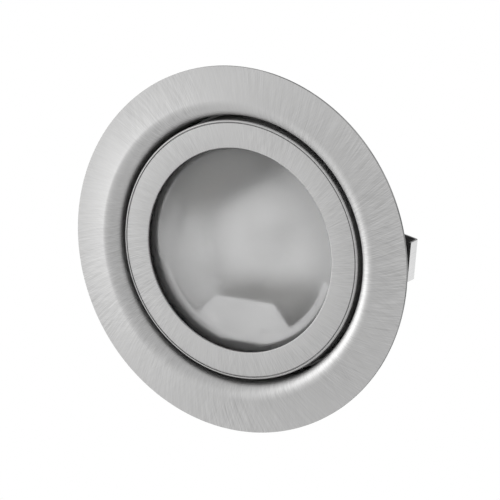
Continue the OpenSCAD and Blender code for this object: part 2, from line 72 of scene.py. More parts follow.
def makeCamera(view):
    azimuth, elevation, roll = (math.radians(view[k]) for k in ("azimuth", "elevation", "roll"))
    back = Vector((math.cos(elevation) * math.cos(azimuth),
                   math.cos(elevation) * math.sin(azimuth), math.sin(elevation)))
    levelUp = (zAxis - back * back.z).normalized()
    right = levelUp.cross(back) * math.cos(roll) + levelUp * math.sin(roll)
    up = back.cross(right)
    aim = (right * view["aimRight"] + up * view["aimUp"]) * mm
    camera = bpy.data.objects.new("photoCamera", bpy.data.cameras.new("photoCamera"))
    bpy.context.scene.collection.objects.link(camera)
    camera.data.lens = view["lens"]
    camera.data.sensor_width = view["sensor"]
    camera.data.clip_start = 0.01
    camera.data.clip_end = 50
    turn = Matrix((right, up, back)).transposed()
    camera.matrix_world = Matrix.Translation(aim + back * view["distance"] * mm) @ turn.to_4x4()
    bpy.context.scene.camera = camera


makeCamera(photoView)
print("camera: placed")


# Shaping tools

def arc(x, z, radius, fromAngle, toAngle, steps=bendSteps):
    angles = [math.radians(fromAngle + (toAngle - fromAngle) * i / steps) for i in range(steps + 1)]
    return [(x + radius * math.cos(a), z + radius * math.sin(a)) for a in angles]


def ease(points, radius, steps, least):
    # rounds each corner that turns by more than least degrees, by about radius
    eased = []
    for i, point in enumerate(points):
        corner = Vector(point)
        before = Vector(points[i - 1]) - corner
        after = Vector(points[(i + 1) % len(points)]) - corner
        turn = math.pi - before.angle(after)
        if turn < math.radians(least):
            eased.append(corner)
            continue
        room = 0.45 * min(before.length, after.length)
        back = min(radius * math.tan(turn / 2), room)
        start, end = corner + before.normalized() * back, corner + after.normalized() * back
        for step in range(steps + 1):
            t = step / steps
            eased.append(start * (1 - t) ** 2 + corner * 2 * t * (1 - t) + end * t ** 2)
    return eased


def roundEdges(points, radius, steps=2):
    # rounds the cut edges alone and leaves every bend as it is
    return ease(points, radius, steps, 60)


def sheetBetween(outer, inner):
    # closed outline of a bent sheet, from the points on its two sides
    return outer + inner[::-1]


def tidied(mesh):
    # welds points that meet, and turns every face outwards
    bmesh.ops.remove_doubles(mesh, verts=mesh.verts, dist=weld * mm)
    bmesh.ops.recalc_face_normals(mesh, faces=mesh.faces)
    return mesh


def lathe(profile, steps=roundSteps, fromAngle=0, sweep=360):
    # spins an outline of (radius, height) round Z
    mesh = bmesh.new()
    whole = sweep == 360
    rings = []
    for i in range(steps if whole else steps + 1):
        a = math.radians(fromAngle + sweep * i / steps)
        rings.append([mesh.verts.new((x * mm * math.cos(a), x * mm * math.sin(a), z * mm))
                      for x, z in profile])
    for i in range(steps):
        here, there = rings[i], rings[(i + 1) % len(rings)]
        for j in range(len(profile)):
            k = (j + 1) % len(profile)
            mesh.faces.new((here[j], there[j], there[k], here[k]))
    if not whole:
        mesh.faces.new(rings[0])
        mesh.faces.new(rings[-1])
    return tidied(mesh)


def prism(outline, low, high):
    # extrudes an outline of (x, y) from height low to high
    mesh = bmesh.new()
    bottom = [mesh.verts.new((x * mm, y * mm, low * mm)) for x, y in outline]
    top = [mesh.verts.new((x * mm, y * mm, high * mm)) for x, y in outline]
    mesh.faces.new(bottom)
    mesh.faces.new(top)
    for i in range(len(outline)):
        j = (i + 1) % len(outline)
        mesh.faces.new((bottom[i], bottom[j], top[j], top[i]))
    bmesh.ops.recalc_face_normals(mesh, faces=mesh.faces)
    return mesh


def loft(sections):
    # skins a row of closed sections, each a list of points in millimetres, and caps its ends
    mesh = bmesh.new()
    rings = [[mesh.verts.new(Vector(p) * mm) for p in section] for section in sections]
    for here, there in zip(rings, rings[1:]):
        for j in range(len(here)):
            k = (j + 1) % len(here)
            mesh.faces.new((here[j], here[k], there[k], there[j]))
    mesh.faces.new(rings[0])
    mesh.faces.new(rings[-1])
    return tidied(mesh)


def rod(radius, low, high, steps=smallSteps):
    return lathe([(0, low), (radius, low), (radius, high), (0, high)], steps)


def place(mesh, matrix):
    bmesh.ops.transform(mesh, matrix=matrix, verts=mesh.verts)
    return mesh


def join(*meshes):
    whole = bmesh.new()
    for part in meshes:
        scratch = bpy.data.meshes.new("scratch")
        part.to_mesh(scratch)
        whole.from_mesh(scratch)
        bpy.data.meshes.remove(scratch)
        part.free()
    return whole


def shift(x, y, z):
    return Matrix.Translation(Vector((x, y, z)) * mm)


def turnZ(degrees):
    return Matrix.Rotation(math.radians(degrees), 4, "Z")


def alongY(y, z):
    # turns a shape spun round Z so that its height runs along -Y from y, at height z
    return shift(0, y, z) @ Matrix.Rotation(math.radians(90), 4, "X")


def alongDirection(degrees, z):
    # turns a shape spun round Z so that its height runs outwards in that direction
    return shift(0, 0, z) @ turnZ(degrees) @ Matrix.Rotation(math.radians(90), 4, "Y")


def plainObject(name, mesh):
    data = bpy.data.meshes.new(name)
    mesh.to_mesh(data)
    mesh.free()
    made = bpy.data.objects.new(name, data)
    bpy.context.scene.collection.objects.link(made)
    return made


def booleans(name, mesh, cutters=(), added=()):
    # cuts and adds shapes one by one, and gives back the mesh
    body = plainObject(name, mesh)
    tools = []
    for kind, shapes in (("UNION", added), ("DIFFERENCE", cutters)):
        for shape in shapes:
            tool = plainObject(name + "Tool", shape)
            step = body.modifiers.new("step", "BOOLEAN")
            step.operation = kind
            step.solver = "EXACT"
            step.object = tool
            tools.append(tool)
    bpy.context.view_layer.update()
    result = bmesh.new()
    result.from_object(body, bpy.context.evaluated_depsgraph_get())
    bmesh.ops.remove_doubles(result, verts=result.verts, dist=weld * mm)
    for used in [body, *tools]:
        data = used.data
        bpy.data.objects.remove(used)
        bpy.data.meshes.remove(data)
    return result


def addPiece(name, mesh, paints, body, nodes, edge=30, bevel=0, turn=0):
    # puts a finished mesh in the scene in place of its CAD nodes; paints are names of finishes
    piece = plainObject(name, place(mesh, turnZ(turn)))
    if bevel:
        rounding = piece.modifiers.new("edges", "BEVEL")
        rounding.width = bevel * mm
        rounding.segments = 2
        rounding.limit_method = "ANGLE"
        rounding.angle_limit = math.radians(40)
    piece.data.shade_smooth()
    piece.data.set_sharp_from_angle(angle=math.radians(edge))
    for paint in paints:
        piece.data.materials.append(finishes[paint])
    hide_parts(*nodes)
    if body:
        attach(piece, body)
    return piece


# Finishes

def newGroup(name, inputs, outputs):
    group = bpy.data.node_groups.new(name, "ShaderNodeTree")
    for label, kind, value in inputs:
        socket = group.interface.new_socket(name=label, in_out="INPUT", socket_type=kind)
        socket.default_value = value
    for label, kind in outputs:
        group.interface.new_socket(name=label, in_out="OUTPUT", socket_type=kind)
    return group, group.nodes.new("NodeGroupInput"), group.nodes.new("NodeGroupOutput")


def feed(tree, socket, value):
    if isinstance(value, bpy.types.NodeSocket):
        tree.links.new(value, socket)
    else:
        socket.default_value = value


def sums(tree, operation, first, second=0.0):
    node = tree.nodes.new("ShaderNodeMath")
    node.operation = operation
    feed(tree, node.inputs[0], first)
    feed(tree, node.inputs[1], second)
    return node.outputs[0]


def weighted(tree, *pairs):
    # adds up values, each times its weight
    terms = [sums(tree, "MULTIPLY", value, weight) for value, weight in pairs]
    total = terms[0]
    for term in terms[1:]:
        total = sums(tree, "ADD", total, term)
    return total


def spread(tree, value, low, high, toLow=0.0, toHigh=1.0):
    node = tree.nodes.new("ShaderNodeMapRange")
    for label, amount in (("Value", value), ("From Min", low), ("From Max", high),
                          ("To Min", toLow), ("To Max", toHigh)):
        feed(tree, node.inputs[label], amount)
    return node.outputs["Result"]


def tones(tree, mask, dark, light):
    node = tree.nodes.new("ShaderNodeMix")
    node.data_type = "RGBA"
    feed(tree, node.inputs["Factor"], mask)
    for socket, colour in ((node.inputs[6], dark), (node.inputs[7], light)):
        feed(tree, socket, colour)
    return node.outputs[2]


def makeBrushGroup():
    # fine strokes that run outwards from the axis (Around high) or round it (Along high)
    group, into, out = newGroup("brushStrokes", [
        ("Around", "NodeSocketFloat", 150.0), ("Along", "NodeSocketFloat", 120.0),
        ("Skew", "NodeSocketFloat", 0.0), ("Shift", "NodeSocketFloat", 0.0)],
        [("Strokes", "NodeSocketFloat")])
    coordinates = group.nodes.new("ShaderNodeTexCoord")
    split = group.nodes.new("ShaderNodeSeparateXYZ")
    group.links.new(coordinates.outputs["Object"], split.inputs[0])
    x, y, z = split.outputs
    radius = sums(group, "SQRT", weighted(group, (x, x), (y, y)))
    angle = sums(group, "ADD", sums(group, "ARCTAN2", y, x),
                 sums(group, "MULTIPLY", radius, into.outputs["Skew"]))
    vector = group.nodes.new("ShaderNodeCombineXYZ")
    for i, wave in enumerate(("COSINE", "SINE")):
        feed(group, vector.inputs[i], sums(group, "MULTIPLY", sums(group, wave, angle),
                                           into.outputs["Around"]))
    outwards = sums(group, "MULTIPLY", sums(group, "SUBTRACT", radius, z), into.outputs["Along"])
    feed(group, vector.inputs[2], sums(group, "ADD", outwards, into.outputs["Shift"]))
    noise = group.nodes.new("ShaderNodeTexNoise")
    noise.inputs["Scale"].default_value = 1.0
    noise.inputs["Detail"].default_value = 1.5
    group.links.new(vector.outputs[0], noise.inputs["Vector"])
    feed(group, out.inputs["Strokes"], spread(group, noise.outputs["Fac"], 0.3, 0.7))
    return group


def makeCloudGroup():
    # soft blotches of handling and dust, and the same pattern finer for grain
    group, into, out = newGroup("cloud", [
        ("Scale", "NodeSocketFloat", 60.0), ("Detail", "NodeSocketFloat", 3.0),
        ("Low", "NodeSocketFloat", 0.35), ("High", "NodeSocketFloat", 0.65)],
        [("Mask", "NodeSocketFloat")])
    coordinates = group.nodes.new("ShaderNodeTexCoord")
    noise = group.nodes.new("ShaderNodeTexNoise")
    group.links.new(coordinates.outputs["Object"], noise.inputs["Vector"])
    group.links.new(into.outputs["Scale"], noise.inputs["Scale"])
    group.links.new(into.outputs["Detail"], noise.inputs["Detail"])
    feed(group, out.inputs["Mask"], spread(group, noise.outputs["Fac"], into.outputs["Low"],
                                           into.outputs["High"]))
    return group


brushGroup = makeBrushGroup()
cloudGroup = makeCloudGroup()


class Paint:
    # a material with its Principled shader, and short ways to wire it
    def __init__(self, name, **plain):
        self.material = bpy.data.materials.new(name)
        self.material.use_nodes = True
        self.tree = self.material.node_tree
        self.shader = self.tree.nodes["Principled BSDF"]
        for label, value in plain.items():
            self.shader.inputs[label.replace("_", " ")].default_value = value

    def group(self, tree, output, **values):
        node = self.tree.nodes.new("ShaderNodeGroup")
        node.node_tree = tree
        for label, value in values.items():
            node.inputs[label].default_value = value
        return node.outputs[output]

    def strokes(self, **values):
        return self.group(brushGroup, "Strokes", **values)

    def cloud(self, **values):
        return self.group(cloudGroup, "Mask", **values)

    def wire(self, label, value):
        self.tree.links.new(value, self.shader.inputs[label])

    def bump(self, height, strength, depth):
        node = self.tree.nodes.new("ShaderNodeBump")
        node.inputs["Strength"].default_value = strength
        node.inputs["Distance"].default_value = depth * mm
        self.tree.links.new(height, node.inputs["Height"])
        self.wire("Normal", node.outputs["Normal"])


def grey(level, warm=0.0):
    return (level * (1 + warm), level, level * (1 - warm), 1)


def brushedNickel():
    # three layers of brush strokes that run outwards, each at its own slant
    look = {"dark": 0.37, "light": 0.67, "warm": 0.003, "roughLow": 0.46, "roughHigh": 0.56,
            "fine": 0.45, "long": 0.35, "crossing": 0.2, "softBite": 0.25, "hardBite": 0.95}
    paint = Paint("brushedNickel", Metallic=1.0, Anisotropic=0.1)
    tree = paint.tree
    fine = paint.strokes(Around=270.0, Along=420.0, Skew=6.0, Shift=1.0)
    long = paint.strokes(Around=150.0, Along=190.0, Skew=9.0, Shift=7.0)
    crossing = paint.strokes(Around=190.0, Along=320.0, Skew=-14.0, Shift=13.0)
    whole = weighted(tree, (fine, look["fine"]), (long, look["long"]),
                     (crossing, look["crossing"]))
    # the brush bit harder in some places than in others
    patches = paint.cloud(Scale=45.0, Detail=1.0)
    bite = spread(tree, patches, 0.0, 1.0, look["softBite"], look["hardBite"])
    mask = sums(tree, "ADD", sums(tree, "MULTIPLY", sums(tree, "SUBTRACT", whole, 0.5), bite), 0.5)
    paint.wire("Base Color", tones(tree, mask, grey(look["dark"], look["warm"]),
                                   grey(look["light"], look["warm"])))
    smudge = paint.cloud(Scale=38.0, Detail=2.0)
    rough = weighted(tree, (mask, 0.5), (smudge, 0.5))
    paint.wire("Roughness", spread(tree, rough, 0.0, 1.0, look["roughLow"], look["roughHigh"]))
    paint.bump(mask, 0.18, 0.004)
    return paint.material


def spunMetal(name, dark, light, rough, around, along):
    # drawn or spun sheet: fine marks run round the axis, or outwards where around is high
    paint = Paint(name, Metallic=1.0, Anisotropic=0.2)
    tree = paint.tree
    marks = paint.strokes(Around=around, Along=along, Shift=3.0)
    haze = paint.cloud(Scale=55.0)
    mask = weighted(tree, (marks, 0.6), (haze, 0.4))
    paint.wire("Base Color", tones(tree, mask, grey(dark), grey(light)))
    paint.wire("Roughness", spread(tree, haze, 0.0, 1.0, rough * 0.85, rough * 1.2))
    paint.bump(marks, 0.2, 0.003)
    return paint.material


def plainMetal(name, dark, light, rough, warm=0.0, scale=400.0):
    # small turned or pressed metal with a fine mottled skin
    paint = Paint(name, Metallic=1.0)
    tree = paint.tree
    skin = paint.cloud(Scale=scale, Detail=4.0)
    haze = paint.cloud(Scale=90.0)
    paint.wire("Base Color", tones(tree, haze, grey(dark, warm), grey(light, warm)))
    paint.wire("Roughness", spread(tree, skin, 0.0, 1.0, rough * 0.8, rough * 1.25))
    paint.bump(skin, 0.15, 0.003)
    return paint.material


def ceramic():
    paint = Paint("ceramic", IOR=1.55, Specular_IOR_Level=0.4)
    tree = paint.tree
    grain = paint.cloud(Scale=1400.0, Detail=4.0)
    stain = paint.cloud(Scale=120.0)
    paint.wire("Base Color", tones(tree, stain, (0.76, 0.755, 0.73, 1), (0.86, 0.855, 0.835, 1)))
    paint.wire("Roughness", spread(tree, grain, 0.0, 1.0, 0.5, 0.7))
    paint.bump(grain, 0.4, 0.02)
    return paint.material


def mattBlack(name, level, roughLow, roughHigh):
    # rubber and silicone, and the can's near-black, which is a painted shade, each with a fine
    # grain and a little pale dust
    paint = Paint(name, IOR=1.45)
    tree = paint.tree
    grain = paint.cloud(Scale=900.0, Detail=3.0)
    dust = paint.cloud(Scale=70.0, Detail=5.0, Low=0.4, High=0.75)
    paint.wire("Base Color", tones(tree, dust, grey(level), grey(level * 2.0)))
    paint.wire("Roughness", spread(tree, grain, 0.0, 1.0, roughLow, roughHigh))
    paint.bump(grain, 0.25, 0.01)
    return paint.material


def clearGlass(name, ior, alpha=1.0):
    paint = Paint(name, Base_Color=grey(0.99), IOR=ior, Transmission_Weight=1.0, Alpha=alpha)
    film = paint.cloud(Scale=80.0)
    paint.wire("Roughness", spread(paint.tree, film, 0.0, 1.0, 0.0, 0.03))
    return paint.material


def frostedGlass():
    paint = Paint("glassFrosted", Base_Color=grey(0.99), IOR=1.5, Transmission_Weight=1.0)
    etch = paint.cloud(Scale=2500.0, Detail=2.0)
    paint.wire("Roughness", spread(paint.tree, etch, 0.0, 1.0, 0.45, 0.52))
    return paint.material


finishes = {
    "nickel": brushedNickel(),
    # dark metal for the cut edges; on the ring's groove floor it is a painted shade
    "cutEdge": plainMetal("cutEdge", dark=0.12, light=0.3, rough=0.45, scale=1200.0),
    # the can's near-black is painted shade, so that the clips' arms mirror it as dark
    "can": mattBlack("canPaintedShade", level=0.015, roughLow=0.35, roughHigh=0.5),
    "spring": spunMetal("springSteel", dark=0.56, light=0.82, rough=0.2, around=900.0, along=90.0),
    "rivet": plainMetal("rivetAluminium", dark=0.46, light=0.62, rough=0.35),
    "reflector": spunMetal("reflectorAluminium", dark=0.84, light=0.92, rough=0.27, around=5.0,
                           along=1800.0),
    "bracket": plainMetal("bracketSteel", dark=0.6, light=0.72, rough=0.3),
    "ceramic": ceramic(),
    "brass": plainMetal("contactBrass", dark=0.5, light=0.62, rough=0.28, warm=0.28),
    "screw": plainMetal("screwSteel", dark=0.5, light=0.62, rough=0.25),
    "rubber": mattBlack("grommetRubber", level=0.018, roughLow=0.5, roughHigh=0.7),
    "silicone": mattBlack("gasketSilicone", level=0.022, roughLow=0.55, roughHigh=0.75),
    "glassPolished": clearGlass("glassPolished", ior=1.5),
    "glassFrosted": frostedGlass(),
    "quartz": clearGlass("quartz", ior=1.46, alpha=0.25),
    "pin": plainMetal("pinMetal", dark=0.45, light=0.58, rough=0.3, warm=0.02, scale=900.0),
    "tungsten": plainMetal("tungsten", dark=0.2, light=0.28, rough=0.4, scale=2000.0),
}
print("finishes: made", len(finishes))


# Trim

trim = {
    "rimR": 36,            # outside of the flange
    "land": 0.8,           # flat rim that lies on the soffit
    "sheet": 0.5,
    "slope": 11.45,        # degrees
    "neckR": 26.3,
    "rollR": 2.8,
    "neckTop": 9,
    "neckCorner": 1,
    "ledgeR": 22.8,
    "cutEdge": 0.07,       # rounding of the sheet's cut edges
}


def makeTrim(t):
    slope, sheet, corner = math.radians(t["slope"]), t["sheet"], t["neckCorner"]
    rollX = t["neckR"] + t["rollR"]
    landR = t["rimR"] - t["land"]
    rollZ = (t["rollR"] * math.cos(slope) - sheet
             - math.tan(slope) * (landR - rollX - t["rollR"] * math.sin(slope)))
    front, rear = ([(t["rimR"], rim), (landR, rim),
                    *arc(rollX, rollZ, roll, 270 + t["slope"], 180, bowSteps),
                    *arc(t["neckR"] + sheet - corner, t["neckTop"] - corner, bend, 0, 90),
                    (t["ledgeR"], t["neckTop"] + rim)]
                   for rim, roll, bend in ((-sheet, t["rollR"], corner - sheet),
                                           (0, t["rollR"] - sheet, corner)))
    pressed = lathe(roundEdges(sheetBetween(front, rear), t["cutEdge"], 3))
    for face in pressed.faces:
        middle = face.calc_center_median()
        if math.hypot(middle.x, middle.y) > (t["rimR"] - t["cutEdge"] / 2) * mm:
            face.material_index = 1
    addPiece("trimFlange", pressed, ["nickel", "cutEdge"],
             "housing", ["trim_flange"])


makeTrim(trim)
print("trim: done")


# Can and rivets

can = {
    "outR": 22.6,
    "sheet": 0.4,
    "mouthR": 26.4,
    "seatZ": 9,
    "rearZ": 21.6,
    "shoulderR": 3.5,
    "mouthBend": 0.45,     # inside radius between the wall and the mouth's flange
    "embossR": 8.5,
    "embossUp": 0.3,
    "embossHalf": 0.67,
    "embossFoot": 0.4,     # flat margin each side of the raised line
    "leadTurn": 135,       # degrees
    "leadZ": 13.6,
    "leadHoleR": 3.06,
    "leadHoleFrom": 18,    # the hole's cutter, from the axis
    "leadHoleTo": 26,
}

rivets = {
    "shankD": 1.7,
    "headD": 2.8,
    "headH": 0.5,
    "canR": 24.5,
    "clipX": 15.4,
    "clipY": 2,
    "holderX": 6,
    "holderY": 14.35,
    "holderShankD": 2.2,
    "holderHeadD": 3.6,
}


def makeCan(c):
    wall = c["outR"] - c["sheet"]
    flatR = c["outR"] - c["shoulderR"]
    bend = c["mouthBend"]
    ringIn, ringOut = c["embossR"] - c["embossHalf"], c["embossR"] + c["embossHalf"]
    around = [math.pi * i / 8 for i in range(9)]
    emboss = [(c["embossR"] + c["embossHalf"] * math.cos(a),
               c["rearZ"] + c["embossUp"] * math.sin(a) ** 2) for a in around]
    mouth, shoulder = 5, 14     # segments in the two bends
    outer = [(c["mouthR"], c["seatZ"] + c["sheet"])]
    outer += arc(c["outR"] + bend, c["seatZ"] + c["sheet"] + bend, bend, 270, 180, mouth)
    outer += arc(flatR, c["rearZ"] - c["shoulderR"], c["shoulderR"], 0, 90, shoulder)
    outer += [(ringOut + c["embossFoot"], c["rearZ"]), *emboss,
              (ringIn - c["embossFoot"], c["rearZ"]), (0, c["rearZ"])]
    inner = [(c["mouthR"], c["seatZ"])]
    inner += arc(wall + bend, c["seatZ"] + bend, bend, 270, 180, mouth)
    inner += arc(flatR, c["rearZ"] - c["shoulderR"], c["shoulderR"] - c["sheet"], 0, 90, shoulder)
    inner += [(0, c["rearZ"] - c["sheet"])]
    outline = roundEdges(sheetBetween(outer, inner), sheetRound)
    hole = place(rod(c["leadHoleR"], c["leadHoleFrom"], c["leadHoleTo"], 64),
                 alongDirection(c["leadTurn"], c["leadZ"]))
    shell = booleans("rearCan", lathe(outline), [hole])
    addPiece("rearCan", shell, ["can"], "housing", ["rear_can"])


def rivet(shank, head, height, low, high):
    # closed rivet between heights low and high, with a domed head on each side
    dome = (head * head / 4 + height * height) / (2 * height)
    half, steps = math.degrees(math.asin(head / 2 / dome)), 7
    top = arc(0, high + height - dome, dome, 90 - half, 90, steps)
    bottom = arc(0, low - height + dome, dome, 270, 270 + half, steps)
    outline = bottom + [(shank / 2, low), (shank / 2, high)] + top
    return lathe(outline, smallSteps)


def makeRivets(r, c, t, bowl, strip, h):
    turned = [math.radians(45 + 90 * i) for i in range(4)]
    around = [(r["canR"] * math.cos(a), r["canR"] * math.sin(a)) for a in turned]
    byClips = [(x, y) for x in (-r["clipX"], r["clipX"]) for y in (-r["clipY"], r["clipY"])]
    byHolder = [(-r["holderX"], r["holderY"]), (r["holderX"], r["holderY"])]
    rear, rearIn = c["rearZ"], c["rearZ"] - c["sheet"]
    small = (r["shankD"], r["headD"], r["headH"])
    big = (r["holderShankD"], r["holderHeadD"], r["headH"])
    for name, node, places, sizes, low, high, turn in (
            ("canRivets", "can_rivets", around, small,
             t["neckTop"] - t["sheet"], c["seatZ"] + c["sheet"], 0),
            ("reflectorRivet", "reflector_rivet", [(0, 0)], small,
             rearIn - bowl["sheet"], rear, 0),
            ("clipRivets", "clip_rivets", byClips, small, rearIn, rear + strip["sheet"], 0),
            ("holderRivets", "holder_rivets", byHolder, big, h["lowZ"], rear, h["turn"])):
        row = join(*[place(rivet(*sizes, low, high), shift(x, y, 0)) for x, y in places])
        addPiece(name, row, ["rivet"], "housing", [node], turn=turn)


# Reflector

reflector = {
    "mouthR": 19.4,
    "rimZ": 3.3,
    "rimW": 0.6,
    "rimBend": 0.8,
    "rimSteps": 8,
    "bowlR": 16,           # outside of the round between wall and floor
    "floorZ": 21.2,
    "sheet": 0.4,
    "holderCut": (8.7, 10.4, 7.5),     # half width, start along Y, start along Z
    "legCut": (4.8, 18.2, 8),          # half width, start along Y, end along Z
}


def makeReflector(r, turn):
    sheet, bend, bendX = r["sheet"], r["rimBend"], r["mouthR"] + r["rimBend"]
    bowlX, bowlZ = r["mouthR"] + sheet - r["bowlR"], r["floorZ"] - r["bowlR"]
    bendZ, steps = r["rimZ"] + bend, r["rimSteps"]
    inner, outer = ([(bendX + r["rimW"], r["rimZ"] + rim),
                     *arc(bendX, bendZ, bend - rim, 270, 180, steps),
                     *arc(bowlX, bowlZ, r["bowlR"] - bowl, 0, 90, bowSteps),
                     (0, r["floorZ"] - bowl)] for rim, bowl in ((0, sheet), (sheet, 0)))
    outline = roundEdges(sheetBetween(outer, inner), sheetRound)
    far = 40     # beyond the whole light
    x, y, z = r["holderCut"]
    legX, legY, legZ = r["legCut"]
    cuts = [boxCut((-x, x), (y, far), (z, far)),
            boxCut((-legX, legX), (legY, far), (r["rimZ"] - past, legZ))]
    spun = booleans("reflectorBowl", lathe(outline), [place(cut, turnZ(turn)) for cut in cuts])
    addPiece("reflectorBowl", spun, ["reflector"], "housing",
             ["reflector"])


# Bracket and lampholder

bracket = {
    "sheet": 0.45,
    "plateZ": 2.8,
    "plateIn": 10.2,       # straight front edge of the plate that shows in the window
    "plateEdge": 12.8,
    "plateHalf": 40,       # degrees each side
    "plateOut": 19.1,
    "wingW": 1.5,
    "wingHalf": 76,        # degrees each side
    "legIn": 19,
    "legW": 9,
    "bendIn": 0.5,
    "footTop": 21.2,
    "footW": 16,
    "footIn": 11.5,
    "footOut": 13.45,
    "wireHole": (7, 4),
    "cornerR": 1.1,
    "footCorner": 0.6,
    "lap": 2,              # how far the leg's strip runs into the plate
    "bendSteps": 8,
    "bevel": 0.07,
}

holder = {
    "turn": -4,            # degrees, against the line across the clips
    "w": 16.4,
    "frontY": 10.9,
    "backY": 18.45,
    "lowZ": 8,
    "topZ": 20.75,
    "corner": 1.6,
    "footPocket": (9, 3.8),
    "sleeveStart": 11.9,
    "sleeveEnd": 18.15,
    "sleeveD": 2.4,
    "pinGap": 4,
    "pinD": 0.8,
    "wireD": 1.3,
    "wireDeep": 2.3,
    "sleeveRoom": 0.12,    # clearance on the sleeve's diameter
    "screwY": 16.75,
    "screwD": 1.8,
    "screwRoom": 0.15,     # clearance round the screw
    "screwSunk": 0.6,      # head below the block's face
    "screwTip": 0.5,       # tip short of the wire's middle line
    "slotW": 0.4,
    "slotDeep": 0.4,
    "lampZ": 12.4,
    "bevel": 0.22,
}


def boxCut(x, y, z):
    return prism([(x[0], y[0]), (x[1], y[0]), (x[1], y[1]), (x[0], y[1])], z[0], z[1])


def pinBore(x, z, diameter, fromY, toY):
    return place(rod(diameter / 2, 0, toY - fromY), shift(x, 0, 0) @ alongY(toY, z))


def plateOutline(b, bendLine):
    # a straight edge, two slanted sides, and two wings whose outside stops at the leg's bend
    half, side = math.radians(b["plateHalf"]), b["plateEdge"] / 2
    wingR, tip = b["plateOut"] - b["wingW"], 90 - b["wingHalf"]
    along = side * math.sin(half) + b["plateIn"] * math.cos(half)
    reach = math.sqrt(along ** 2 - side ** 2 - b["plateIn"] ** 2 + wingR ** 2) - along
    cornerX, cornerY = side + reach * math.sin(half), b["plateIn"] + reach * math.cos(half)
    start = math.degrees(math.atan2(cornerY, cornerX))
    end = math.degrees(math.asin(bendLine / b["plateOut"]))
    right = [(side, b["plateIn"]), *arc(0, 0, wingR, start, tip, 14),
             *arc(0, 0, b["plateOut"], tip, end, 20)]
    return right + [(-x, y) for x, y in right[::-1]]


def makeBracket(b, h):
    sheet, legOut = b["sheet"], b["legIn"] + b["sheet"]
    bendOut = b["bendIn"] + sheet
    bendLine = legOut - bendOut
    low, top = b["plateZ"], b["footTop"]
    outline = ease(plateOutline(b, bendLine), b["cornerR"], 6, 30)
    plate = prism(outline, low, low + sheet)
    lapped, steps = b["plateIn"] + b["lap"], b["bendSteps"]
    lowBend, topBend = low + bendOut, top - bendOut
    outer, inner = ([(lapped, low + inset), *arc(bendLine, lowBend, bend, 270, 360, steps),
                     *arc(bendLine, topBend, bend, 0, 90, steps), (b["footOut"], top - inset)]
                    for inset, bend in ((0, bendOut), (sheet, b["bendIn"])))
    leg = prism(sheetBetween(outer, inner), -b["legW"] / 2, b["legW"] / 2)
    # the side view is drawn in x and y, so it is turned up to stand along Y and Z
    place(leg, Matrix(((0, 0, 1, 0), (1, 0, 0, 0), (0, 1, 0, 0), (0, 0, 0, 1))))
    x = b["footW"] / 2
    foot = prism(ease([(-x, b["footIn"]), (x, b["footIn"]), (x, b["footOut"]), (-x, b["footOut"])],
                      b["footCorner"], 4, 30), top - sheet, top)
    w, height = b["wireHole"]
    hole = boxCut((-w / 2, w / 2), (b["legIn"] - past, legOut + past),
                  (h["lampZ"] - height / 2, h["lampZ"] + height / 2))
    whole = booleans("holderBracket", plate, [hole], [leg, foot])
    addPiece("holderBracket", whole, ["bracket"], "housing",
             ["holder_bracket"], bevel=b["bevel"], turn=h["turn"])


def makeHolder(h):
    x, corner = h["w"] / 2, h["corner"]
    outline = [(-x, h["frontY"]), (x, h["frontY"])]
    outline += arc(x - corner, h["backY"] - corner, corner, 0, 90)
    outline += arc(corner - x, h["backY"] - corner, corner, 90, 180)
    block = prism(outline, h["lowZ"], h["topZ"])
    pocketW, pocketH = h["footPocket"]
    z = h["lampZ"]
    cuts = [boxCut((-pocketW / 2, pocketW / 2), (h["frontY"] - past, h["sleeveStart"]),
                   (z - pocketH / 2, z + pocketH / 2))]
    for side in (-1, 1):
        pinX = side * h["pinGap"] / 2
        cuts.append(pinBore(pinX, z, h["sleeveD"] + h["sleeveRoom"], h["sleeveStart"] - 0.1,
                            h["backY"] + past))
        well = rod(h["screwD"] / 2 + h["screwRoom"], h["lowZ"] - past, z)
        cuts.append(place(well, shift(pinX, h["screwY"], 0)))
    whole = booleans("lampHolder", block, cuts)
    addPiece("lampHolder", whole, ["ceramic"], "housing", ["lampholder"],
             bevel=h["bevel"], turn=h["turn"])


def makeContacts(h):
    z = h["lampZ"]
    length = h["sleeveEnd"] - h["sleeveStart"]
    outR, pinR, wireR = h["sleeveD"] / 2, h["pinD"] / 2, h["wireD"] / 2
    stepped = [(pinR, length), (pinR, h["wireDeep"]), (wireR, h["wireDeep"]), (wireR, 0),
               (outR, 0), (outR, length)]
    for side, name, node in ((-1, "contactSleeveLeft", "contact_sleeve_left"),
                             (1, "contactSleeveRight", "contact_sleeve_right")):
        sleeve = place(lathe(roundEdges(stepped, 0.08), smallSteps),
                       shift(side * h["pinGap"] / 2, 0, 0) @ alongY(h["sleeveEnd"], z))
        addPiece(name, sleeve, ["brass"], "housing", [node], turn=h["turn"])
    screws = []
    head, tip, screwR = h["lowZ"] + h["screwSunk"], z - h["screwTip"], h["screwD"] / 2
    for side in (-1, 1):
        outline = roundEdges([(0, head), (screwR, head), (screwR, tip), (0, tip)], 0.12)
        screw = lathe(outline, smallSteps)
        slot = boxCut((-h["screwD"], h["screwD"]), (-h["slotW"] / 2, h["slotW"] / 2),
                      (head - past / 2, head + h["slotDeep"]))
        screws.append(place(booleans("screw", screw, [slot]),
                            shift(side * h["pinGap"] / 2, h["screwY"], 0)))
    addPiece("terminalScrews", join(*screws), ["screw"], "housing",
             ["terminal_screws"], turn=h["turn"])


# Grommet

grommet = {
    "boreR": 2,
    "bodyR": 3,
    "innerR": 3.5,
    "innerStart": 21.36,
    "innerT": 0.5,
    "outerR": 3.9,
    "outerStart": 22.66,
    "outerT": 1,
    "edge": 0.28,
    "steps": 96,
}


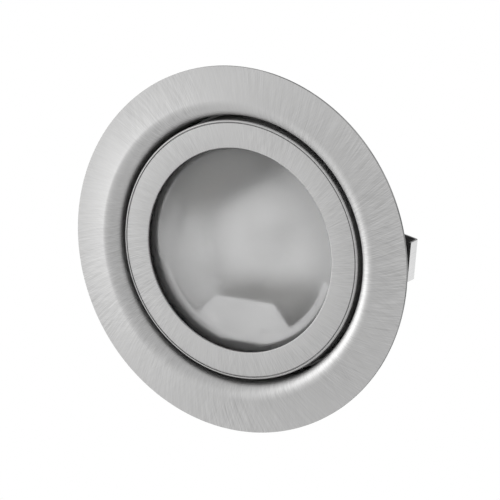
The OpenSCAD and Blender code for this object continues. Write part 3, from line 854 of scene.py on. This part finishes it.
def makeGrommet(g, c):
    start, inner = g["innerStart"], g["innerStart"] + g["innerT"]
    outer, end = g["outerStart"], g["outerStart"] + g["outerT"]
    outline = [(g["boreR"], start), (g["innerR"], start), (g["innerR"], inner),
               (g["bodyR"], inner), (g["bodyR"], outer), (g["outerR"], outer),
               (g["outerR"], end), (g["boreR"], end)]
    rolled = lathe(roundEdges(outline, g["edge"], 5), g["steps"])
    addPiece("leadGrommet", place(rolled, alongDirection(c["leadTurn"], c["leadZ"])), ["rubber"],
             "housing", ["lead_grommet"])


# Spring clips

clip = {
    "w": 8,
    "sheet": 0.45,
    "footX": 9.6,
    "bendX": 21.2,
    "bendR": 0.7,          # of the strip's middle line where it turns over the shoulder
    "slope": 20.5,         # degrees
    "lipX": 28.175,
    "lipBend": 0.725,
    "lip": 3.1,
    "corner": 1.2,
    "edge": 0.09,
    "steps": 8,            # stations along the strip's end, foot and turn
    "armSteps": 12,
    "lipTurnSteps": 10,
    "lipSteps": 5,
}


def stripPath(c, z):
    # middle line of the clip's strip, as points and the side that faces away from the can
    slope = math.radians(c["slope"])
    along = Vector((math.cos(slope), -math.sin(slope)))
    across = Vector((math.sin(slope), math.cos(slope)))
    hinge = Vector((c["bendX"], z))
    tip = hinge + along * (c["lipX"] - c["bendX"]) / math.cos(slope)
    backA = c["bendR"] * math.tan(slope / 2)
    startA, endA = hinge - Vector((backA, 0)), hinge + along * backA
    centreA = startA - Vector((0, c["bendR"]))
    turn = math.radians(90) - slope
    backB = c["lipBend"] * math.tan(turn / 2)
    startB = tip - along * backB
    centreB = startB - across * c["lipBend"]
    stations = []
    flat, straight = Vector((0, 1)), Vector((1, 0))
    footStart, foot = c["footX"] + c["corner"], startA.x - c["footX"] - c["corner"]
    for i in range(c["steps"] + 1):       # the foot's rounded end
        x = c["footX"] + c["corner"] * (1 - math.cos(math.pi / 2 * i / c["steps"]))
        stations.append((Vector((x, z)), flat))
    for i in range(1, c["steps"]):
        stations.append((Vector((footStart + foot * i / c["steps"], z)), flat))
    for i in range(c["steps"] + 1):      # over the can's shoulder
        a = slope * i / c["steps"]
        normal = Vector((math.sin(a), math.cos(a)))
        stations.append((centreA + normal * c["bendR"], normal))
    for i in range(1, c["armSteps"]):
        stations.append((endA.lerp(startB, i / c["armSteps"]), across))
    for i in range(c["lipTurnSteps"] + 1):   # down into the lip
        a = slope + turn * i / c["lipTurnSteps"]
        normal = Vector((math.sin(a), math.cos(a)))
        stations.append((centreB + normal * c["lipBend"], normal))
    lipStart, lipEnd = centreB.y, tip.y - c["lip"]
    for i in range(1, c["lipSteps"] + 1):
        down = lipStart + (lipEnd - lipStart) * i / c["lipSteps"]
        stations.append((Vector((c["lipX"], down)), straight))
    return stations


def makeClip(c, z, name, turn, nodes):
    stations = stripPath(c, z)
    thick, edge = c["sheet"] / 2, c["edge"]
    sections = []
    for point, normal in stations:
        reach = point.x - c["footX"]
        half = c["w"] / 2
        if reach < c["corner"]:
            half += math.sqrt(max(c["corner"] ** 2 - (c["corner"] - reach) ** 2, 0.0)) - c["corner"]
        rim = ease([(-half, -thick), (half, -thick), (half, thick), (-half, thick)], edge, 2, 30)
        sections.append([(point.x + normal.x * v, u, point.y + normal.y * v) for u, v in rim])
    strip = loft(sections)
    lipEnd = stations[-1][0].y * mm
    for face in strip.faces:
        middle = face.calc_center_median()
        if abs(middle.y) > (half - edge / 2) * mm or middle.z < lipEnd + edge / 2 * mm:
            face.material_index = 1
    mesh = place(strip, turnZ(turn))
    piece = addPiece(name, mesh, ["spring", "cutEdge"], None,
                     nodes, edge=28)
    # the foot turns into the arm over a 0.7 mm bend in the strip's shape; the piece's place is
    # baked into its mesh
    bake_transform(piece)


# Front ring and what it holds

ring = {
    "windowR": 20.1,
    "outR": 25.5,
    "sheet": 0.5,
    "edgeR": 0.34,
    "innerR": 0.2,         # inside radius of the same edge
    "endZ": 7.7,
    "windowEdge": 0.16,    # rounding of the window's pressed edge
    "grooveR": 25,         # fine pressed line that sets off the rounded edge; its floor is painted dark, a painted shade
    "grooveW": 0.12,
    "grooveDeep": 0.2,
    "grooveShape": ((-1, 0), (-0.4, 0.85), (0, 1), (0.4, 0.85), (1, 0)),   # shares of both
    "fall": 0.25,          # how far the face falls back from the window to the edge
}

lens = {
    "frontZ": 0.41,
    "rearZ": 2.59,
    "r": 23.56,
    "chamfer": 0.25,
}

gasket = {
    "lipR": 20.2,
    "rearLipR": 19.4,
    "outR": 24.94,
    "wallR": 23.64,
    "backZ": 3,
    "corner": 0.3,
    "room": 0.01,          # between glass and gasket
    "edge": 0.12,
}

retainer = {
    "inR": 21.1,
    "outR": 24.94,
    "sheet": 0.35,
    "bend": 0.65,
    "endZ": 7.2,
}

catch = {
    "lowZ": 1.8,
    "highZ": 7.3,
    "baseR": 25.56,
    "rise": 0.62,
    "sheet": 0.35,
    "wide": 15,            # degrees
    "first": 30,           # degrees, middle of the first of three
    "edge": 0.05,
    "bowSteps": 14,
    "wideSteps": 24,
}


def makeRing(r):
    inner, faceZ = r["outR"] - r["sheet"], -r["sheet"]
    outBend, inBend = r["outR"] - r["edgeR"], inner - r["innerR"]
    rimZ = faceZ + r["fall"]
    groove = [(r["grooveR"] + side * r["grooveW"], rimZ + deep * r["grooveDeep"])
              for side, deep in r["grooveShape"]]
    front = [(r["windowR"], faceZ), *groove,
             *arc(outBend, rimZ + r["edgeR"], r["edgeR"], 270, 360, 10),
             (r["outR"], r["endZ"])]
    rear = [(r["windowR"], 0), *arc(inBend, r["innerR"], r["innerR"], 270, 360),
            (inner, r["endZ"])]
    pressed = lathe(roundEdges(sheetBetween(front, rear), r["windowEdge"], 4))
    # the groove's floor takes the dark cutEdge finish, which here is a painted shade in the groove
    for face in pressed.faces:
        middle = face.calc_center_median()
        away = abs(math.hypot(middle.x, middle.y) - r["grooveR"] * mm)
        if away < r["grooveW"] * mm and middle.z < rimZ * mm / 2:
            face.material_index = 1
    addPiece("frontRing", pressed, ["nickel", "cutEdge"],
             "ring_assembly", ["front_ring"])


def makeLens(g):
    flatR, chamfer = g["r"] - g["chamfer"], g["chamfer"]
    disc = lathe([(0, g["frontZ"]), (flatR, g["frontZ"]), (g["r"], g["frontZ"] + chamfer),
                  (g["r"], g["rearZ"] - chamfer), (flatR, g["rearZ"]), (0, g["rearZ"])])
    for face in disc.faces:
        if face.calc_center_median().z > (g["rearZ"] - chamfer / 10) * mm:
            face.material_index = 1
    addPiece("glassLens", disc, ["glassFrosted", "glassPolished"],
             "ring_assembly", ["glass_lens"])


def makeGasket(g, l):
    front, rear = l["frontZ"] - g["room"], l["rearZ"] + g["room"]
    outline = [(g["lipR"], 0), (g["outR"] - g["corner"], 0), (g["outR"], g["corner"]),
               (g["outR"], g["backZ"]), (g["rearLipR"], g["backZ"]), (g["rearLipR"], rear),
               (g["wallR"], rear), (g["wallR"], front), (g["lipR"], front)]
    addPiece("glassGasket", lathe(roundEdges(outline, g["edge"], 3)), ["silicone"],
             "ring_assembly", ["glass_gasket"])


def makeRetainer(r, g):
    low, bend = g["backZ"], r["bend"]
    front, rear = ([(r["inR"], low + inset),
                    *arc(r["outR"] - bend, low + bend, bend - inset, 270, 360),
                    (r["outR"] - inset, r["endZ"])] for inset in (0, r["sheet"]))
    outline = roundEdges(sheetBetween(front, rear), sheetRound)
    addPiece("retainingRing", lathe(outline), ["spring"],
             "ring_assembly", ["retaining_ring"])


def makeCatches(c):
    half = (c["highZ"] - c["lowZ"]) / 2
    bowR = (half * half + c["rise"] ** 2) / (2 * c["rise"])
    reach = math.degrees(math.asin(half / bowR))
    x, z = c["baseR"] + c["rise"] - bowR, c["lowZ"] + half
    outer = arc(x, z, bowR, -reach, reach, c["bowSteps"])
    inner = [(px - c["sheet"], pz) for px, pz in outer if px - c["sheet"] > c["baseR"]]
    outline = roundEdges(sheetBetween(outer, inner), c["edge"])
    for i in range(3):
        start = c["first"] + 120 * i - c["wide"] / 2
        strip = lathe(outline, c["wideSteps"], start, c["wide"])
        addPiece("catchSpring%d" % (i + 1), strip, ["spring"],
                 "ring_assembly", ["catch_spring_%d" % (i + 1)])


# Lamp

lamp = {
    "bulbR": 4.6,
    "wall": 0.9,
    "tipY": -9.2,
    "footY": 11.8,
    "pinchY": 5.8,         # where the pinched foot begins
    "pinchLong": 3.2,      # over which the bulb narrows to the foot
    "pinch": (4.1, 1.5),   # half width and half thickness
    "pinchPower": 5.5,     # squareness of the foot's section; 2 is round
    "footEdge": (0.25, 0.2),
    "hollowEnd": 1.8,
    "domeSteps": 12,       # segments from the tip to the bulb's widest, and along the pinch
    "endSteps": 8,         # segments where the hollow closes
    "pinX": 2,
    "pinR": 0.35,
    "pinStart": 8.2,
    "pinEnd": 18.2,
    "pinEdge": 0.16,
    "filamentY": -0.95,
    "filamentHalf": 1.8,
    "coilR": 0.44,
    "wireR": 0.06,
    "turns": 11,
    "turnSteps": 14,
    "supportR": 0.13,
    "supportIn": 0.15,     # from the coil's end
    "supportMid": 1.5,     # from the coil's axis
    "supportShort": 1.2,   # end of the support, before the foot
    "z": 12.4,
    "least": 0.001,        # radius at which the glass closes
}


def softSquare(y, z, halfW, halfH, power, count=48):
    # section of the bulb: a circle at power 2, squarer above it
    ringPoints = []
    for i in range(count):
        a = 2 * math.pi * i / count
        c, s = math.cos(a), math.sin(a)
        ringPoints.append((math.copysign(abs(c) ** (2 / power), c) * halfW, y,
                           z + math.copysign(abs(s) ** (2 / power), s) * halfH))
    return ringPoints


def bulbSections(b, inset):
    # the round tip, with the radius that it ends on
    radius = b["bulbR"] - inset
    domeY = b["tipY"] + b["bulbR"]
    sections = []
    for i in range(b["domeSteps"] + 1):
        a = math.pi / 2 * i / b["domeSteps"]
        across = max(radius * math.sin(a), b["least"])
        sections.append(softSquare(domeY - radius * math.cos(a), b["z"], across, across, 2))
    return sections, radius


def tube(points, radius, count=8):
    # round wire along a line of points
    sections = []
    sideways = None
    for i, point in enumerate(points):
        before, after = points[max(i - 1, 0)], points[min(i + 1, len(points) - 1)]
        along = (Vector(after) - Vector(before)).normalized()
        if sideways is None:
            sideways = along.orthogonal().normalized()
        sideways = (sideways - along * sideways.dot(along)).normalized()
        other = along.cross(sideways)
        sections.append([Vector(point) + (sideways * math.cos(2 * math.pi * j / count)
                                          + other * math.sin(2 * math.pi * j / count)) * radius
                         for j in range(count)])
    return loft(sections)


def makeBulb(b):
    outer, radius = bulbSections(b, 0)
    (halfW, halfH), power = b["pinch"], b["pinchPower"]
    back, inset = b["footEdge"]
    shoulder = b["pinchY"] - b["pinchLong"]
    for i in range(1, b["domeSteps"] + 1):
        t = i / b["domeSteps"]
        s = t * t * (3 - 2 * t)
        outer.append(softSquare(shoulder + b["pinchLong"] * t, b["z"],
                                radius + (halfW - radius) * s, radius + (halfH - radius) * s,
                                2 + (power - 2) * s))
    outer.append(softSquare(b["footY"] - back, b["z"], halfW, halfH, power))
    outer.append(softSquare(b["footY"], b["z"], halfW - inset, halfH - inset, power - 0.5))
    inner, radius = bulbSections(b, b["wall"])
    for i in range(1, b["endSteps"] + 1):
        a = math.pi / 2 * i / b["endSteps"]
        across = max(radius * math.cos(a), b["least"])
        inner.append(softSquare(shoulder + b["hollowEnd"] * math.sin(a), b["z"], across, across, 2))
    hollow = loft(inner)
    bmesh.ops.reverse_faces(hollow, faces=hollow.faces)
    whole = join(loft(outer), hollow)
    addPiece("lampBulb", whole, ["quartz"], "lamp", ["lamp_bulb"], edge=50,
             turn=holder["turn"])


def makePins(b):
    pins = []
    for side in (-1, 1):
        length = b["pinEnd"] - b["pinStart"]
        outline = roundEdges([(0, 0), (b["pinR"], 0), (b["pinR"], length), (0, length)],
                             b["pinEdge"], 3)
        pins.append(place(lathe(outline, 24), shift(side * b["pinX"], 0, 0)
                          @ alongY(b["pinEnd"], b["z"])))
    addPiece("lampPins", join(*pins), ["pin"], "lamp", ["lamp_pins"],
             turn=holder["turn"])


def makeFilament(b):
    steps = b["turns"] * b["turnSteps"]
    half, coilEnd = b["filamentHalf"], b["filamentY"] + b["coilR"]
    coil = []
    for i in range(steps + 1):
        a = 2 * math.pi * b["turns"] * i / steps
        coil.append((-half + 2 * half * i / steps, b["filamentY"] + b["coilR"] * math.cos(a),
                     b["z"] + b["coilR"] * math.sin(a)))
    parts = [tube(coil, b["wireR"], 6)]
    stops = (coilEnd, b["filamentY"] + b["supportMid"], b["pinchY"] - b["supportShort"])
    for side in (-1, 1):
        x = side * (half - b["supportIn"])
        route = [(x, y, b["z"]) for y in stops]
        parts.append(tube(route, b["supportR"]))
    addPiece("lampFilament", join(*parts), ["tungsten"], "lamp",
             ["lamp_filament"], edge=60, turn=holder["turn"])


makeCan(can)
makeRivets(rivets, can, trim, reflector, clip, holder)
makeReflector(reflector, holder["turn"])
makeBracket(bracket, holder)
makeHolder(holder)
makeContacts(holder)
makeGrommet(grommet, can)
clipZ = can["rearZ"] + clip["sheet"] / 2
makeClip(clip, clipZ, "clipRight", 0, ["clip_foot_right", "clip_arm_right"])
makeClip(clip, clipZ, "clipLeft", 180, ["clip_foot_left", "clip_arm_left"])
print("housing: done")
makeRing(ring)
makeLens(lens)
makeGasket(gasket, lens)
makeRetainer(retainer, gasket)
makeCatches(catch)
print("front ring: done")
makeBulb(lamp)
makePins(lamp)
makeFilament(lamp)
print("lamp: done")


# Studio

studio = {
    "floorZ": -1.2,
    "floorSize": 5,
    "floorTurn": 160,      # degrees, towards the floor's nearest edge
    "floorNear": 1.22,     # distance to that edge
    "floorColour": 0.845,
    "roomLevel": 0.85,
    "keyPower": 8.3,
    "keySize": 1.0,
    "keyAzimuth": 180,
    "keyElevation": -15,
    "keyDistance": 1.3,
}


def makeFloor(s):
    bpy.ops.mesh.primitive_plane_add(size=s["floorSize"])
    floor = bpy.context.object
    floor.name = "floor"
    away = s["floorNear"] - s["floorSize"] / 2
    a = math.radians(s["floorTurn"])
    floor.location = (away * math.cos(a), away * math.sin(a), s["floorZ"])
    floor.rotation_euler.z = a
    paint = Paint("paleFloor", Specular_IOR_Level=0.2, Roughness=0.8)
    mottle = paint.cloud(Scale=3.0)
    level = s["floorColour"]
    paint.wire("Base Color", tones(paint.tree, mottle, grey(level * 0.98), grey(level)))
    floor.data.materials.append(paint.material)


def makeWorld(s):
    world = bpy.data.worlds.new("studio")
    bpy.context.scene.world = world
    world.use_nodes = True
    tree = world.node_tree
    tree.nodes.clear()
    # the camera, mirrors and glass see white, and the rest is lit by the room
    path = tree.nodes.new("ShaderNodeLightPath")
    seen = sums(tree, "ADD", path.outputs["Is Camera Ray"], path.outputs["Is Glossy Ray"])
    seen = sums(tree, "MINIMUM", sums(tree, "ADD", seen, path.outputs["Is Transmission Ray"]), 1.0)
    room = tree.nodes.new("ShaderNodeBackground")
    room.inputs["Color"].default_value = grey(s["roomLevel"])
    white = tree.nodes.new("ShaderNodeBackground")
    white.inputs["Color"].default_value = grey(1.0)
    mix = tree.nodes.new("ShaderNodeMixShader")
    out = tree.nodes.new("ShaderNodeOutputWorld")
    tree.links.new(seen, mix.inputs[0])
    tree.links.new(room.outputs[0], mix.inputs[1])
    tree.links.new(white.outputs[0], mix.inputs[2])
    tree.links.new(mix.outputs[0], out.inputs[0])


def softBox(name, power, size, azimuth, elevation, distance):
    light = bpy.data.lights.new(name, "AREA")
    light.energy = power
    light.shape = "SQUARE"
    light.size = size
    box = bpy.data.objects.new(name, light)
    bpy.context.scene.collection.objects.link(box)
    a, e = math.radians(azimuth), math.radians(elevation)
    where = Vector((math.cos(e) * math.cos(a), math.cos(e) * math.sin(a), math.sin(e)))
    box.location = where * distance
    box.rotation_mode = "QUATERNION"
    box.rotation_quaternion = where.to_track_quat("Z", "Y")


makeFloor(studio)
makeWorld(studio)
softBox("keySoftBox", studio["keyPower"], studio["keySize"], studio["keyAzimuth"],
        studio["keyElevation"], studio["keyDistance"])
bpy.context.scene.view_settings.view_transform = "Standard"
print("studio: lit")
